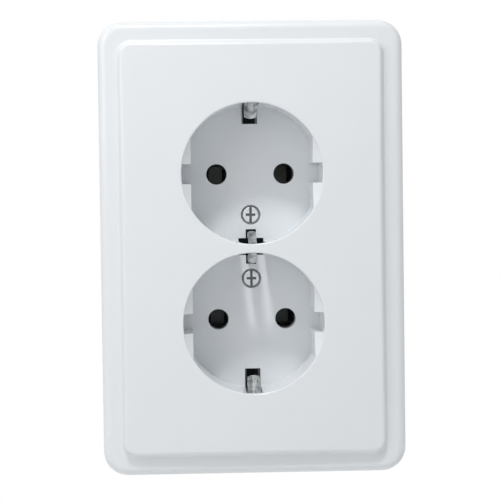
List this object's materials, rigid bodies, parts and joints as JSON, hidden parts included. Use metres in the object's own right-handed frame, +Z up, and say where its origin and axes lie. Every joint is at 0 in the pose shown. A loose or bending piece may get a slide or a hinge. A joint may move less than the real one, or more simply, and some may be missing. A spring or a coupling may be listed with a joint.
{
  "type": "double wall socket",
  "caption": "Flush double wall socket: stepped white cover with round earthed plug recesses, on a steel frame with an insert, push-in terminals and spreading claws.",
  "frame": {"origin": "middle of the two box-screw slots, in the wall plane", "axes": "+X to the right and +Z up as seen from the room, -Y out of the wall towards the room, +Y into the wall box"},
  "size_m": [0.084, 0.0495, 0.125],
  "materials": {
    "cover_plastic": "glossy white moulded thermoplastic",
    "screw_steel": "zinc-plated steel",
    "earth_metal": "nickel-plated spring sheet",
    "frame_steel": "zinc-plated steel sheet",
    "rivet_steel": "plated steel rivets",
    "shield_plastic": "black moulded polyamide",
    "base_plastic": "grey moulded polyamide",
    "lid_plastic": "dark grey moulded polyamide",
    "button_plastic": "orange moulded polyamide",
    "earth_button_plastic": "green moulded polyamide",
    "contact_brass": "rolled brass sheet",
    "spring_steel": "hardened spring steel",
    "claw_steel": "yellow-passivated steel sheet"
  },
  "bodies": {
    "socket": {"front_cover": "cover_plastic", "cover_screws": "screw_steel", "earth_strip": "earth_metal", "inner_earth_clip": "earth_metal", "earth_rivet": "earth_metal", "support_frame": "frame_steel", "frame_rivets": "rivet_steel", "contact_shield": "shield_plastic", "insert_base": "base_plastic", "live_contact_strip": "contact_brass", "neutral_contact_strip": "contact_brass", "contact_springs": "spring_steel", "clamp_spring_live": "spring_steel", "clamp_spring_earth": "spring_steel", "clamp_spring_neutral": "spring_steel", "terminal_cover": "lid_plastic"},
    "button_live": {"release_button_live": "button_plastic"},
    "button_earth": {"release_button_earth": "earth_button_plastic"},
    "button_neutral": {"release_button_neutral": "button_plastic"},
    "left_claw": {"claw_left": "claw_steel"},
    "right_claw": {"claw_right": "claw_steel"},
    "left_claw_screw": {"claw_screw_left": "screw_steel"},
    "right_claw_screw": {"claw_screw_right": "screw_steel"}
  },
  "joints": [
    {"name": "release_live", "type": "slide", "parent": "socket", "child": "button_live", "axis": [0, -1, 0], "range_m": [0, 0.0015], "stiffness_N_per_m": 4000, "deforming": ["clamp_spring_live"]},
    {"name": "release_earth", "type": "slide", "parent": "socket", "child": "button_earth", "axis": [0, -1, 0], "range_m": [0, 0.0015], "stiffness_N_per_m": 4000, "deforming": ["clamp_spring_earth"]},
    {"name": "release_neutral", "type": "slide", "parent": "socket", "child": "button_neutral", "axis": [0, -1, 0], "range_m": [0, 0.0015], "stiffness_N_per_m": 4000, "deforming": ["clamp_spring_neutral"]},
    {"name": "claw_screw_left_turn", "type": "hinge", "parent": "socket", "child": "left_claw_screw", "pos_m": [-0.0226, 0, 0], "axis": [0, 1, 0], "range_deg": [0, 666]},
    {"name": "claw_left_swing", "type": "hinge", "parent": "socket", "child": "left_claw", "pos_m": [-0.019, 0.003, 0], "axis": [0, 0, 1], "range_deg": [0, 18]},
    {"name": "claw_screw_right_turn", "type": "hinge", "parent": "socket", "child": "right_claw_screw", "pos_m": [0.0226, 0, 0], "axis": [0, 1, 0], "range_deg": [0, 666]},
    {"name": "claw_right_swing", "type": "hinge", "parent": "socket", "child": "right_claw", "pos_m": [0.019, 0.003, 0], "axis": [0, 0, -1], "range_deg": [0, 18]}
  ],
  "couplings": [
    {"joint": "claw_left_swing", "follows": "claw_screw_left_turn", "ratio": 0.027027},
    {"joint": "claw_right_swing", "follows": "claw_screw_right_turn", "ratio": 0.027027}
  ]
}
